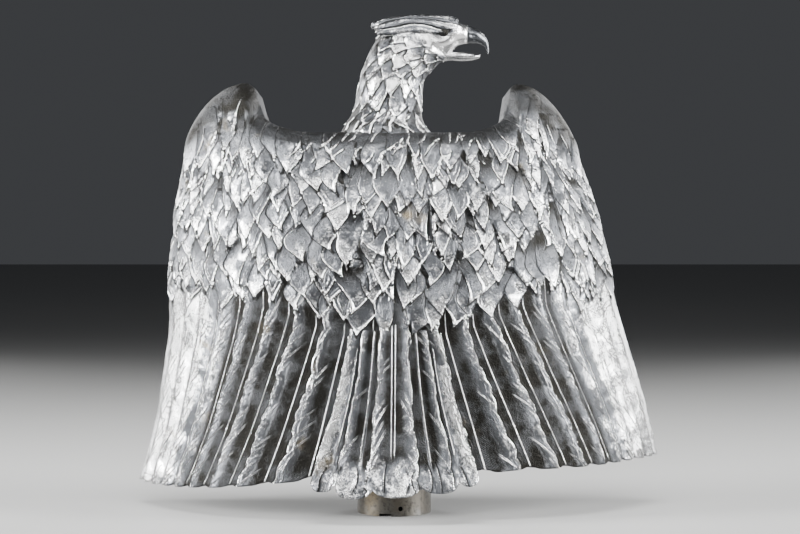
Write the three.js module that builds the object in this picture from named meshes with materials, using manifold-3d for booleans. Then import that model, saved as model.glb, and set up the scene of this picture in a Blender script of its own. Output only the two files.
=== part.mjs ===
// Eagle finial for the top of a flag pole: a cast and silvered eagle with lowered wings, its head
// turned to its right, standing on the closed end of a round pole socket.
// Millimetres, +Z up, +Y the way the breast faces. The origin is on the socket's axis at its rim.
import * as THREE from "three";
import { mergeVertices } from "three/addons/utils/BufferGeometryUtils.js";
import Module from "manifold-3d";

const wasm = await Module();
wasm.setup();

// The pole socket
const poleBore = 40;
const socketWall = 2.2;
const boreDepth = 38;
const capThickness = 4;
const capOverhang = 2.5;
const screwHole = 2.8;
const screwHoleHeight = 4.6;
const screwHoleTurn = 10;
const rimChipDepth = 1.6;
const rimChipWidth = 7.5;
const rimChipTurn = -14;
const socketSides = 40;

// The eagle. Every size of the figure is a share of its own height: in the lists below one part
// is a 257th of the height from the feet to the crest, so at the real height it is a millimetre.
const eagleHeight = 257;
const figureParts = 257;
const seatGap = 0.3;
const figureShift = 0.7;

const size = eagleHeight / figureParts;
const outerRadius = poleBore / 2 + socketWall;
const capRadius = outerRadius + capOverhang;
const socketTop = boreDepth + capThickness;

const clamp = (value, low, high) => Math.min(Math.max(value, low), high);
const mix = (a, b, share) => a + (b - a) * share;
const radians = THREE.MathUtils.degToRad;

// Values at a place between stations [place, value, value ...], on a smooth curve through them.
function between(stations, place) {
  const last = stations.length - 1;
  let k = 0;
  while (k < last - 1 && place > stations[k + 1][0]) k++;
  const before = stations[Math.max(k - 1, 0)];
  const start = stations[k];
  const end = stations[k + 1];
  const after = stations[Math.min(k + 2, last)];
  const span = end[0] - start[0];
  const t = clamp((place - start[0]) / span, 0, 1);
  const values = [];
  for (let i = 1; i < start.length; i++) {
    const leave = ((end[i] - before[i]) / (end[0] - before[0])) * span;
    const arrive = ((after[i] - start[i]) / (after[0] - start[0])) * span;
    const a = 2 * start[i] - 2 * end[i] + leave + arrive;
    const b = 3 * end[i] - 3 * start[i] - 2 * leave - arrive;
    values.push(((a * t + b) * t + leave) * t + start[i]);
  }
  return values;
}

// A closed solid from triangles that list their corners.
function solidOf(triangles) {
  const geometry = new THREE.BufferGeometry();
  geometry.setFromPoints(triangles.flat());
  return solidOfGeometry(geometry);
}

function solidOfGeometry(geometry) {
  const plain = geometry.clone();
  plain.deleteAttribute("normal");
  plain.deleteAttribute("uv");
  const merged = mergeVertices(plain, 1e-3);
  const made = new wasm.Manifold(
    new wasm.Mesh({
      numProp: 3,
      vertProperties: merged.attributes.position.array,
      triVerts: new Uint32Array(merged.index.array),
    }),
  );
  return made;
}

function geometryOf(solid) {
  const { vertProperties, triVerts } = solid.getMesh();
  const geometry = new THREE.BufferGeometry();
  geometry.setAttribute("position", new THREE.BufferAttribute(new Float32Array(vertProperties), 3));
  geometry.setIndex(new THREE.BufferAttribute(new Uint32Array(triVerts), 1));
  const faceted = geometry.toNonIndexed();
  faceted.computeVertexNormals();
  return faceted;
}

// A solid through closed rings of points, with its two ends closed to their middles.
function loft(rings) {
  const triangles = [];
  const count = rings[0].length;
  for (let r = 0; r < rings.length - 1; r++) {
    for (let i = 0; i < count; i++) {
      const next = (i + 1) % count;
      const [a, b, c, d] = [rings[r][i], rings[r][next], rings[r + 1][next], rings[r + 1][i]];
      triangles.push([a, b, c], [a, c, d]);
    }
  }
  const middle = (ring) =>
    ring.reduce((sum, p) => sum.add(p), new THREE.Vector3()).divideScalar(count);
  const [first, final] = [rings[0], rings[rings.length - 1]];
  const [firstMiddle, finalMiddle] = [middle(first), middle(final)];
  for (let i = 0; i < count; i++) {
    const next = (i + 1) % count;
    triangles.push([firstMiddle, first[next], first[i]]);
    triangles.push([finalMiddle, final[i], final[next]]);
  }
  return outward(triangles);
}

// A solid between two sheets of points, closed around its border.
function slab(outer, inner) {
  const triangles = [...sheetFaces(outer), ...sheetFaces([...inner].reverse())];
  const end = (sheet, which) => sheet.map((row) => row.at(which));
  triangles.push(...bridge(inner[0], outer[0]), ...bridge(outer.at(-1), inner.at(-1)));
  triangles.push(...bridge(end(outer, 0), end(inner, 0)), ...bridge(end(inner, -1), end(outer, -1)));
  return outward(triangles);
}

function sheetFaces(sheet) {
  return sheet.slice(1).flatMap((row, r) => bridge(sheet[r], row));
}

// Triangles between two lines of points, going on along whichever gives the shorter crossing.
function bridge(first, second) {
  const triangles = [];
  let [i, j] = [0, 0];
  while (i < first.length - 1 || j < second.length - 1) {
    const onFirst = i < first.length - 1 ? first[i + 1].distanceTo(second[j]) : Infinity;
    const onSecond = j < second.length - 1 ? second[j + 1].distanceTo(first[i]) : Infinity;
    if (onFirst < onSecond) triangles.push([first[i], first[++i], second[j]]);
    else triangles.push([first[i], second[j + 1], second[j++]]);
  }
  return triangles;
}

// The solid with its faces turned to point out, whichever way round its points ran.
function outward(triangles) {
  const made = solidOf(triangles);
  return made.volume() < 0 ? solidOf(triangles.map(([a, b, c]) => [a, c, b])) : made;
}

function vector(x, y, z) {
  return new THREE.Vector3(x, y, z);
}

// The wings and back: one cast shell, bent round the body like a cape. A place on it is
// given by u, from -1 at the left wing's leading edge to 1 at the right wing's, and by its height.
// Each wing has its half width at heights, its wrist, and its lower edge at shares of the width.
const leftWing = {
  halfWidth: [[-28, 162.3], [-9, 153.5], [14, 144.8], [60, 141.4], [96, 140.8], [138, 137], [170, 133.2], [217, 132]],
  wristTop: 216,
  edgeTop: 170,
  lowerEdge: [[0, 8], [0.28, -15.5], [0.45, -20.5], [0.7, -25.5], [0.9, -28], [1, -27.5]],
};
const rightWing = {
  halfWidth: [[-12, 164], [18, 156.7], [59, 144.3], [85, 136.8], [103, 134.5], [138, 126], [170, 116.5], [217, 110]],
  wristTop: 215.5,
  edgeTop: 166,
  lowerEdge: [[0, 8], [0.28, -12.5], [0.45, -12.3], [0.7, -12.5], [0.9, -12], [1, -12]],
};
const wristPlace = 0.735;
const notchPlace = 0.658;
const notchStart = 0.34;
const shoulderTop = 185;
const notchMiddle = 201;
const backDepth = [[-30, -44], [0, -45], [60, -49], [110, -50], [150, -46], [180, -36], [217, -20]];
const wrapDepth = [[-28, 80], [60, 74], [130, 66], [190, 56], [217, 50]];
const halfThickness = [[-30, 1.9], [20, 2.2], [70, 3.4], [120, 6.5], [160, 10], [190, 11], [217, 12]];
const wrapPower = 3.2;
const topRound = 12;
const edgeRound = 6;
const thinnest = 0.1;

// The place of a column that is a share s of the arc from the back's middle to the wing's edge.
const columnPlace = (s) => 1.25 * s - 0.25 * s ** 3;

function upperEdge(place, wing) {
  if (place >= wristPlace) {
    const share = (place - wristPlace) / (1 - wristPlace);
    return wing.edgeTop + (wing.wristTop - wing.edgeTop) * (1 - share ** 2.4) ** 0.44;
  }
  if (place >= notchPlace) {
    const share = (wristPlace - place) / (wristPlace - notchPlace);
    return notchMiddle + (wing.wristTop - notchMiddle) * Math.sqrt(1 - share ** 2);
  }
  const share = clamp((place - notchStart) / (notchPlace - notchStart), 0, 1);
  return notchMiddle - (notchMiddle - shoulderTop) * Math.sqrt(1 - share ** 2);
}

// The point of the cape at u and a height, on its back (outer 1), its front (-1) or between.
function capePoint(u, height, outer) {
  const wing = u < 0 ? leftWing : rightWing;
  const place = Math.abs(u);
  const [halfWidth] = between(wing.halfWidth, height);
  const [depth] = between(backDepth, height);
  const [wrap] = between(wrapDepth, height);
  const [thick] = between(halfThickness, height);
  const fromTop = clamp((upperEdge(place, wing) - height) / topRound, 0, 1);
  const fromEdge = clamp(((1 - place) * halfWidth) / edgeRound, 0, 1);
  const rounding = Math.sqrt((1 - (1 - fromTop) ** 2) * (1 - (1 - fromEdge) ** 2));
  const slope = ((wrap * wrapPower) / halfWidth) * place ** (wrapPower - 1);
  const length = Math.hypot(slope, 1);
  const shift = thick * (1 - outer * Math.max(rounding, thinnest));
  const x = halfWidth * place - (slope / length) * shift;
  const y = depth + wrap * place ** wrapPower + shift / length;
  return vector(Math.sign(u) * x, y, height);
}

// Overlapping feathers end in a zigzag line. At a place across, counted in feathers, it stands
// this far along and out: it is raised and lowest at a tip, sunk and highest between two feathers.
function featherEdge(across, tip, rise, lift) {
  const notch = 2 * Math.abs(across - Math.round(across));
  return [tip + rise * notch ** 1.5, lift * (1 - 0.85 * notch ** 2)];
}

// The cape's back for feathers, by its share s of the arc from the middle and a height.
function capeSurface(s, height, out) {
  const place = (value) => Math.sign(value) * columnPlace(Math.min(Math.abs(value), 1));
  const step = 0.01;
  const sideways = capePoint(place(s + step), height, 1).sub(capePoint(place(s - step), height, 1));
  const normal = vector(sideways.y, -sideways.x, 0).normalize();
  return capePoint(place(s), height, 1).addScaledVector(normal, out);
}

// Small feathers cover the cape in rows, each row set half a feather aside from the row above.
// Their tips' heights run between the first row's and the last row's, by share of the arc.
const capeFeathers = 21;
const capeRows = 8;
const stepsInFeather = 4;
const firstRowTips = [[0, 170], [0.45, 171], [0.6, 182], [0.75, 187], [0.88, 172], [1, 146]];
const lastRowTips = [[0, 67], [0.2, 71], [0.4, 83], [0.6, 85], [1, 84]];
const capeLift = 2.6;
const tipStep = 0.6;
const edgeFade = 0.2;

// Long flight feathers fan out from under the last row to the scalloped lower edge. Each vane rises
// outwards to a free edge over the next feather's shaft. By quarters of a feather's width:
const flightFan = [[0, 0], [0.27, 0.14], [0.45, 0.165], [0.64, 0.115], [1, 0]];
const flightRelief = [0.9, 1.6, 2.4, 0.4];
const flightScallop = [0.2, 0, 0.7, 2.2];
const flightLines = [0.07, 0.6, 1];
const upperLines = [0, 0.05, 0.2, 0.6];

function cape() {
  const half = (capeFeathers * stepsInFeather) / 2;
  const columns = Array.from({ length: 2 * half + 1 }, (_, i) => i - half);
  const shareOf = (column) => column / half;
  const fade = (s) => Math.min(1, (1 - Math.abs(s)) / edgeFade) ** 0.7;
  const topOf = (s) => upperEdge(columnPlace(Math.abs(s)), s < 0 ? leftWing : rightWing);
  const rowPoint = (column, row, below) => {
    const s = shareOf(column);
    const [first] = between(firstRowTips, Math.abs(s));
    const [last] = between(lastRowTips, Math.abs(s));
    const pitch = (first - last) / (capeRows - 1);
    const across = column / stepsInFeather + row / 2;
    const [height, out] = featherEdge(across, first - pitch * row, 0.8 * pitch, capeLift * fade(s));
    return below ? [height - tipStep, 0] : [height, out];
  };
  const outer = upperLines.map((share) =>
    columns.map((column) => {
      const s = shareOf(column);
      const [height, out] = rowPoint(column, 0, false);
      return capeSurface(s, mix(topOf(s), height, share), out * share ** 3);
    }),
  );
  for (let row = 0; row < capeRows; row++) {
    for (const below of [false, true]) {
      outer.push(columns.map((column) => capeSurface(shareOf(column), ...rowPoint(column, row, below))));
    }
  }
  const flightPoint = (column, share, sheet) => {
    const s = shareOf(column);
    const side = Math.sign(s);
    const phase = Math.abs(column) % stepsInFeather;
    const fanned = s + side * share * between(flightFan, Math.abs(s))[0];
    const wing = side < 0 ? leftWing : rightWing;
    const lower = between(wing.lowerEdge, columnPlace(Math.abs(fanned)))[0] + flightScallop[phase] * fade(s);
    const [start] = rowPoint(column, capeRows - 1, true);
    const height = mix(start, lower, share);
    const out = flightRelief[phase] * fade(s) * Math.min(1, (1.06 - share) * 8, share * 8);
    return sheet > 0
      ? capeSurface(fanned, height, out)
      : capePoint(side * columnPlace(Math.abs(fanned)), height, -1);
  };
  for (const share of flightLines) {
    outer.push(columns.map((column) => flightPoint(column, share, 1)));
  }
  const innerColumns = columns.filter((column) => column % 2 !== 0 || Math.abs(column) === half);
  const inner = [0, 3].map((drop) =>
    innerColumns.map((column) => {
      const s = shareOf(column);
      return capePoint(Math.sign(s) * columnPlace(Math.abs(s)), topOf(s) - drop, -1);
    }),
  );
  inner.push(innerColumns.map((column) => flightPoint(column, 0, -1)));
  inner.push(innerColumns.map((column) => flightPoint(column, 1, -1)));
  return slab(outer, inner);
}

// A thin feather laid on a surface. The surface gives a point from a place across, a place along
// and a height out of it. Each section is [share along, half width, height at its sides, height at
// its middle]; the underside is sunk into the surface.
function feather(surface, line, sections, sink) {
  const outer = [];
  const inner = [];
  for (const [share, halfWidth, sideHeight, middleHeight] of sections) {
    const [across, along] = line(share);
    const places = [across - halfWidth, across, across + halfWidth];
    const heights = [sideHeight, middleHeight, sideHeight];
    outer.push(places.map((place, i) => surface(place, along, heights[i])));
    inner.push(places.map((place) => surface(place, along, -sink)));
  }
  return slab(outer, inner);
}

// The tail: five broad feathers over the back's lower end, arched and flaring out at the bottom.
const tailTop = 72;
const tailFeathers = [
  { place: -0.82, halfWidth: 0.2, bottom: -23, out: 0 },
  { place: 0.86, halfWidth: 0.2, bottom: -20, out: 0 },
  { place: -0.5, halfWidth: 0.24, bottom: -26.5, out: 0.9 },
  { place: 0.53, halfWidth: 0.24, bottom: -23.5, out: 0.9 },
  { place: 0, halfWidth: 0.34, bottom: -25, out: 1.8 },
];
const tailWidths = [[-26, 50], [0, 43], [30, 33], [72, 25]];
const tailDepths = [[-26, -59], [-16, -55.5], [10, -53], [40, -52], [60, -49.8], [72, -47]];
const tailArch = 7;
const tailFeather = [
  [0, 0.8, 0, 1.2],
  [0.3, 0.9, 0.3, 1.6],
  [0.6, 1, 0.4, 1.8],
  [0.88, 1, 0.4, 1.8],
  [0.97, 0.72, 0.5, 1.6],
  [1, 0.3, 0.6, 1.2],
];
const tailThickness = 3.6;

function tailSurface(across, height, out) {
  const [halfWidth] = between(tailWidths, height);
  const [depth] = between(tailDepths, height);
  return vector(across * halfWidth, depth + tailArch * across ** 2 - out, height);
}

function tail() {
  return tailFeathers.map(({ place, halfWidth, bottom, out }) => {
    const line = (share) => [place, mix(tailTop, bottom, share)];
    const sections = tailFeather.map(([share, w, edge, middle]) => [share, w * halfWidth, out + edge, out + middle]);
    return feather(tailSurface, line, sections, tailThickness);
  });
}

// The body: breast and belly, closed at the neck and narrowing to the vent between the legs.
// Each station is a height, the middle's x, the half width, the middle's y and the half depth.
const bodyStations = [
  [14, 0, 8, -20, 8],
  [22, 0, 17, -18, 18],
  [36, 0, 28, -10, 30],
  [60, -1, 42, -3, 42],
  [90, -2, 52, 4, 49],
  [120, -3, 56, 8, 51],
  [150, -4, 53, 8, 46],
  [172, -5, 44, 5, 37],
  [188, -8, 28, 0, 27],
  [196, -7, 20, -2, 20],
];
const bodyFeathers = 12;
const breastRows = [176, 161, 146, 131, 116, 101, 87, 74];
const breastLift = 2.4;

function bodySurface(turn, height, out) {
  const [x, halfWidth, y, halfDepth] = between(bodyStations, height);
  const a = radians(turn);
  return vector(x + (halfWidth + out) * Math.sin(a), y + (halfDepth + out) * Math.cos(a), height);
}

// A loft with rows of feathers round it: plain rings below them and above them, and for each row
// its raised zigzag edge and the foot of the step under it. Two steps of the ring make a feather.
function featheredLoft(surface, feathersAround, below, tips, above, step, lift) {
  const sides = 2 * feathersAround;
  const ring = (placeAt) =>
    Array.from({ length: sides }, (_, i) => surface((i * 360) / sides, ...placeAt(i)));
  const rings = below.map((along) => ring(() => [along, 0]));
  for (let row = tips.length - 1; row >= 0; row--) {
    const rise = 0.8 * (row > 0 ? tips[row - 1] - tips[row] : tips[0] - tips[1]);
    const edge = (i) => featherEdge((i + row) / 2, tips[row], rise, lift);
    rings.push(ring((i) => [edge(i)[0] - step, 0]));
    rings.push(ring(edge));
  }
  rings.push(...above.map((along) => ring(() => [along, 0])));
  return loft(rings);
}

function body() {
  const heights = bodyStations.map(([height]) => height);
  const below = heights.filter((height) => height < breastRows[breastRows.length - 1] - tipStep);
  const above = heights.filter((height) => height > breastRows[0] + 12);
  return featheredLoft(bodySurface, bodyFeathers, below, breastRows, above, tipStep, breastLift);
}

// The neck and head to the tip of the beak, as rings leaned from level at the neck to upright at
// the beak. Each station is the nape side's x and z, the throat side's x and z, and the half depth.
const headStations = [
  [0, -34, 182, 24, 182, 27],
  [1, -28, 192, 16, 191, 22],
  [2, -23, 202, 14.5, 201, 18.5],
  [3, -20.5, 216, 15.5, 215, 17],
  [4, -17, 226, 19.5, 222, 16],
  [5, -12.5, 237, 24, 226.8, 15.5],
  [6, -7, 245, 28, 228.8, 14.8],
  [7, 2, 252.5, 31, 230, 14.5],
  [8, 14, 255, 33, 232.5, 14.3],
  [9, 25, 254.5, 35, 235.5, 13.5],
  [10, 34, 253, 38, 238, 11],
  [11, 40, 250.5, 42, 239, 8.5],
  [12, 45, 249.4, 45.5, 239.3, 7],
  [13, 50.4, 247, 49.2, 239.2, 5.2],
  [14, 54.2, 243, 51.8, 238.3, 3],
  [15, 55.9, 238, 53.9, 236.8, 1.6],
  [16, 56, 232.9, 55.5, 232.6, 0.4],
];
const neckFeathers = 12;
const neckRows = [5.6, 4.6, 3.6, 2.8, 2, 1.2, 0.4];
const neckStep = 0.06;
const neckLift = 1.8;

function headSurface(turn, station, out) {
  const [px, pz, qx, qz, halfDepth] = between(headStations, station);
  const a = radians(turn);
  const reach = Math.hypot(px - qx, pz - qz) / 2;
  const toNape = ((1 + out / reach) * Math.cos(a)) / 2;
  const x = (px + qx) / 2 + (px - qx) * toNape;
  const z = (pz + qz) / 2 + (pz - qz) * toNape;
  return vector(x, -(halfDepth + out) * Math.sin(a), z);
}

function head() {
  const above = headStations.map(([station]) => station).filter((station) => station > 6.5);
  return featheredLoft(headSurface, neckFeathers, [0], neckRows, above, neckStep, neckLift);
}

// The lower half of the open beak, from inside the jaw to its tip.
const mandibleStations = [
  [0, 26, 234, 26, 228, 7],
  [1, 33, 233.8, 33, 229, 5.5],
  [2, 40, 233.2, 40, 228.8, 4.5],
  [3, 46, 232.5, 46.5, 229.6, 3.2],
  [4, 50.5, 232.2, 50.6, 231.2, 1],
];

function mandible() {
  const sides = 8;
  return loft(
    mandibleStations.map(([, px, pz, qx, qz, halfDepth]) =>
      Array.from({ length: sides }, (_, i) => {
        const a = (i * 2 * Math.PI) / sides;
        const x = (px + qx) / 2 + ((px - qx) / 2) * Math.cos(a);
        const z = (pz + qz) / 2 + ((pz - qz) / 2) * Math.cos(a);
        return vector(x, -halfDepth * Math.sin(a), z);
      }),
    ),
  );
}

// The crest: strands of feathers swept back from the brows and overhanging the nape.
// Each station is an x, the height of the roll's middle, and its half width and half height.
const crestStations = [
  [-15, 242.5, 9, 7.2],
  [-8, 243.5, 11, 8.8],
  [10, 245, 13, 9.8],
  [28, 246, 13.2, 8.6],
  [38, 248.5, 9, 5],
];
const crestStrands = [-84, -58, -30, 0, 30, 58, 84];
const crestFront = 37.5;
const crestBack = -14.5;
const crestFeather = [
  [0, 6, 0.2, 0.6],
  [0.25, 14, 0.3, 1.2],
  [0.55, 17, 0.4, 1.3],
  [0.85, 14, 0.4, 1.2],
  [1, 5, 0.2, 0.5],
];

function crestSurface(turn, x, out) {
  const [middle, halfWidth, halfHeight] = between(crestStations, x);
  const a = radians(turn);
  return vector(x, -(halfWidth + out) * Math.sin(a), middle + (halfHeight + out) * Math.cos(a));
}

function crest() {
  return crestStrands.map((turn, k) => {
    const back = crestBack + (Math.abs(turn) / 84) * 4;
    const line = (share) => [turn, mix(crestFront, back, share)];
    const raised = crestFeather.map(([share, w, edge, middle]) => [share, w, edge + (k % 2) * 0.4, middle + (k % 2) * 0.4]);
    return feather(crestSurface, line, raised, 2.2);
  });
}

const eyeRadius = 3.2;
const eyePlace = [28.5, 12, 245];

function eyes() {
  return [-1, 1].map((side) =>
    solidOfGeometry(new THREE.IcosahedronGeometry(eyeRadius, 1)).translate([
      eyePlace[0],
      side * eyePlace[1],
      eyePlace[2],
    ]),
  );
}

// A limb of round section through points [x, y, z, radius] that bends about a sideways line.
function limb(points, sideways, sides) {
  const path = points.map(([x, y, z]) => vector(x, y, z));
  const rings = path.map((point, i) => {
    const from = path[Math.max(i - 1, 0)];
    const to = path[Math.min(i + 1, path.length - 1)];
    const ahead = to.clone().sub(from).normalize();
    const first = sideways.clone().addScaledVector(ahead, -sideways.dot(ahead)).normalize();
    const second = ahead.clone().cross(first);
    return Array.from({ length: sides }, (_, k) => {
      const a = (k * 2 * Math.PI) / sides;
      return point
        .clone()
        .addScaledVector(first, points[i][3] * Math.cos(a))
        .addScaledVector(second, points[i][3] * Math.sin(a));
    });
  });
  return loft(rings);
}

// Legs: feathered thighs, short shanks, and toes that grip the rim of the socket's cap.
const footSpread = 13;
const footForward = 2;
const toeTurns = [-22, 16, 54, 172];

function leg(side) {
  const thigh = limb(
    [
      [side * 27, 10, 96, 21],
      [side * 26, 15, 66, 18],
      [side * 20, 13, 40, 12],
      [side * 15, 7, 24, 7.5],
      [side * footSpread, footForward + 2, 14, 5],
      [side * footSpread, footForward, -1, 5],
    ],
    vector(1, 0, 0),
    10,
  );
  const rim = capRadius / size;
  const toes = toeTurns.map((turn) => {
    const a = radians(turn) * side;
    const [dx, dy] = [Math.sin(a), Math.cos(a)];
    const [fx, fy] = [side * footSpread, footForward];
    const along = fx * dx + fy * dy;
    const toRim = -along + Math.sqrt(along ** 2 - fx ** 2 - fy ** 2 + rim ** 2);
    const at = (distance, height, radius) => [fx + dx * distance, fy + dy * distance, height, radius];
    return limb(
      [
        at(0, 3.5, 4.6),
        at(toRim * 0.55, 4.5, 4.2),
        at(toRim, 2.2, 3.8),
        at(toRim + 3.6, -4, 2.8),
        at(toRim + 2.4, -12, 0.6),
      ],
      vector(-dy, dx, 0),
      6,
    );
  });
  return [thigh, ...toes];
}

// The casting, with room left where it stands on the socket.
function eagleSolid() {
  const pieces = [
    cape(),
    body(),
    head(),
    mandible(),
    ...crest(),
    ...eyes(),
    ...leg(-1),
    ...leg(1),
    ...tail(),
  ];
  const joined = wasm.Manifold.union(pieces).scale([size, size, size]).translate([figureShift, 0, 0]);
  const clearance = turned([
    [0, -capThickness - 2 * seatGap],
    [capRadius + seatGap, -capThickness - 2 * seatGap],
    [capRadius + seatGap, 0],
    [0, 0],
  ]);
  return joined.subtract(clearance);
}

// A turned solid from a profile of [radius, height] that starts and ends on the axis.
function turned(profile) {
  const points = profile.map(([radius, height]) => new THREE.Vector2(radius, height));
  const lathe = new THREE.LatheGeometry(points, socketSides);
  lathe.rotateX(Math.PI / 2);
  return solidOfGeometry(lathe);
}

// The pole socket: a tube closed by a cap, with one screw hole and an old chip in its rim.
function socketSolid() {
  const tube = turned([
    [0, boreDepth],
    [poleBore / 2, boreDepth],
    [poleBore / 2, 0],
    [outerRadius, 0],
    [outerRadius, boreDepth],
    [capRadius, boreDepth],
    [capRadius, socketTop],
    [0, socketTop],
  ]);
  const hole = new THREE.CylinderGeometry(screwHole / 2, screwHole / 2, poleBore, 16);
  hole.translate(0, -poleBore / 2, 0);
  hole.rotateZ(radians(screwHoleTurn));
  hole.translate(0, 0, screwHoleHeight);
  const chip = new THREE.BoxGeometry(rimChipWidth, poleBore, rimChipDepth * 2);
  chip.translate(0, -poleBore / 2, 0);
  chip.rotateZ(radians(rimChipTurn));
  return tube.subtract(solidOfGeometry(hole)).subtract(solidOfGeometry(chip));
}

const silvered = new THREE.MeshStandardMaterial({ color: 0xb9bcc0, roughness: 0.3, metalness: 1 });
const dullTube = new THREE.MeshStandardMaterial({ color: 0x7c766a, roughness: 0.55, metalness: 1 });

const finial = new THREE.Group();

const eagle = new THREE.Mesh(geometryOf(eagleSolid()), silvered);
eagle.name = "eagle";
eagle.position.set(0, 0, socketTop + seatGap);
finial.add(eagle);

const socket = new THREE.Mesh(geometryOf(socketSolid()), dullTube);
socket.name = "socket";
finial.add(socket);

export default finial;
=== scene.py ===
import math

import bmesh
import bpy
import numpy as np
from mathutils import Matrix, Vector


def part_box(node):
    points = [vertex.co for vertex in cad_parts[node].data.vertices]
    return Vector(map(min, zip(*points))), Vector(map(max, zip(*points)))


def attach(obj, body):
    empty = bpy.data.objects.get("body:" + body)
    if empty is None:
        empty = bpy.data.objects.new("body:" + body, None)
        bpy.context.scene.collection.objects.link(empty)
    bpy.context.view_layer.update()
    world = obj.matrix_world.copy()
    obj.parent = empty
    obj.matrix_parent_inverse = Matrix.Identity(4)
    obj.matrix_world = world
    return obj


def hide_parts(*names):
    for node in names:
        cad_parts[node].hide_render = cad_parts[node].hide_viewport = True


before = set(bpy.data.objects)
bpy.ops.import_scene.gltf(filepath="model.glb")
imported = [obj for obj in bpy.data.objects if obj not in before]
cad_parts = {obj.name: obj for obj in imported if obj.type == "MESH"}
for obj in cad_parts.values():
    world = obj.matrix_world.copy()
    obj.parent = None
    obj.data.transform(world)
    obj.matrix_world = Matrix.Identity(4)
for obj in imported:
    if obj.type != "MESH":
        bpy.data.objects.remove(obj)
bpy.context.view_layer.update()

# The wings and back of the eagle: one cast shell, bent round the body like a cape and chased after
# casting. Rows of small pointed feathers lie over long flight feathers. It is silvered, worn bright
# on every rim, with dark patina left in the grooves. Lengths are millimetres of the figure.
MM = 0.001
SEAT_GAP = 0.3
FIGURE_SHIFT = 0.7
seat_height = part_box("socket")[1].z / MM + SEAT_GAP
chance = np.random.default_rng(11)

LEFT_WING = {
    "half_width": [
        [-28, 161], [-13, 156], [11, 149.8], [48, 143.6], [68, 141],
        [96, 140.8], [138, 137], [170, 133.2], [217, 132],
    ],
    "wrist_top": 216,
    "edge_top": 170,
    "lower_edge": [[0, 8], [0.28, -15.5], [0.45, -20.5], [0.7, -25.5], [0.9, -28], [1, -27.5]],
}
RIGHT_WING = {
    "half_width": [
        [-12, 164], [18, 156.7], [59, 144.3], [85, 136.8],
        [103, 134.5], [138, 126], [170, 116.5], [217, 110],
    ],
    "wrist_top": 215.5,
    "edge_top": 166,
    "lower_edge": [[0, 8], [0.28, -12.5], [0.45, -12.3], [0.7, -12.5], [0.9, -12], [1, -12]],
}
CORNER_SPREAD = 1.9
CORNER_ROUND = 0.54
WRIST_PLACE = 0.735
NOTCH_PLACE = 0.658
NOTCH_START = 0.34
SHOULDER_TOP = 185
NOTCH_MIDDLE = 201
BACK_DEPTH = [[-30, -44], [0, -45], [60, -49], [110, -50], [150, -46], [180, -36], [217, -20]]
WRAP_DEPTH = [[-28, 80], [60, 74], [130, 66], [190, 56], [217, 50]]
HALF_THICKNESS = [[-30, 1.9], [20, 2.2], [70, 3.4], [120, 6.5], [160, 10], [190, 11], [217, 12]]
WRAP_POWER = 3.2
TOP_ROUND = 12
EDGE_ROUND = 6
THINNEST = 0.1
EDGE_CROWDING = 0.25


def unit(value):
    """Keeps a value between 0 and 1."""
    return np.clip(value, 0, 1)


def between(stations, place):
    """Values at places between stations [place, value, value ...], on a smooth curve through them."""
    table = np.array(stations, float)
    where = table[:, 0]
    last = len(where) - 1
    place = np.asarray(place, float)
    k = np.clip(np.searchsorted(where, place) - 1, 0, last - 1)
    before, start, end, after = (table[np.clip(k + step, 0, last)] for step in (-1, 0, 1, 2))
    span = end[..., 0] - start[..., 0]
    t = unit((place - start[..., 0]) / span)
    values = []
    for i in range(1, table.shape[1]):
        leave = (end[..., i] - before[..., i]) / (end[..., 0] - before[..., 0]) * span
        arrive = (after[..., i] - start[..., i]) / (after[..., 0] - start[..., 0]) * span
        a = 2 * start[..., i] - 2 * end[..., i] + leave + arrive
        b = 3 * end[..., i] - 3 * start[..., i] - 2 * leave - arrive
        values.append(((a * t + b) * t + leave) * t + start[..., i])
    return values


def mix(a, b, share):
    return a + (b - a) * share


def of_wing(side, key, place):
    """A value of the left wing where side is below 0, and of the right wing elsewhere."""
    return np.where(side < 0, between(LEFT_WING[key], place)[0], between(RIGHT_WING[key], place)[0])


def upper_edge(place, side):
    wrist_top = np.where(side < 0, LEFT_WING["wrist_top"], RIGHT_WING["wrist_top"])
    edge_top = np.where(side < 0, LEFT_WING["edge_top"], RIGHT_WING["edge_top"])
    outer = unit((place - WRIST_PLACE) / (1 - WRIST_PLACE))
    corner = edge_top + (wrist_top - edge_top) * (1 - outer**CORNER_SPREAD) ** CORNER_ROUND
    inner = unit((WRIST_PLACE - place) / (WRIST_PLACE - NOTCH_PLACE))
    shoulder = NOTCH_MIDDLE + (wrist_top - NOTCH_MIDDLE) * np.sqrt(1 - inner**2)
    nape = unit((place - NOTCH_START) / (NOTCH_PLACE - NOTCH_START))
    notch = NOTCH_MIDDLE - (NOTCH_MIDDLE - SHOULDER_TOP) * np.sqrt(1 - nape**2)
    return np.where(place >= WRIST_PLACE, corner, np.where(place >= NOTCH_PLACE, shoulder, notch))


def column_place(s):
    """The place of a column that is a share s of the arc from the back's middle to the wing's edge."""
    s = np.clip(s, -1, 1)
    return (1 + EDGE_CROWDING) * s - EDGE_CROWDING * s**3


def cape_point(u, height, outer):
    """The point of the cape on its back (outer 1) or its front (-1), as three columns."""
    place = np.abs(u)
    half_width = of_wing(u, "half_width", height)
    depth, wrap, thick = (between(table, height)[0] for table in (BACK_DEPTH, WRAP_DEPTH, HALF_THICKNESS))
    from_top = unit((upper_edge(place, u) - height) / TOP_ROUND)
    from_edge = unit((1 - place) * half_width / EDGE_ROUND)
    rounding = np.sqrt((1 - (1 - from_top) ** 2) * (1 - (1 - from_edge) ** 2))
    slope = wrap * WRAP_POWER / half_width * place ** (WRAP_POWER - 1)
    length = np.hypot(slope, 1)
    shift = thick * (1 - outer * np.maximum(rounding, THINNEST))
    x = np.sign(u) * (half_width * place - slope / length * shift)
    y = depth + wrap * place**WRAP_POWER + shift / length
    return np.stack([x, y, height], axis=-1)


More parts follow.
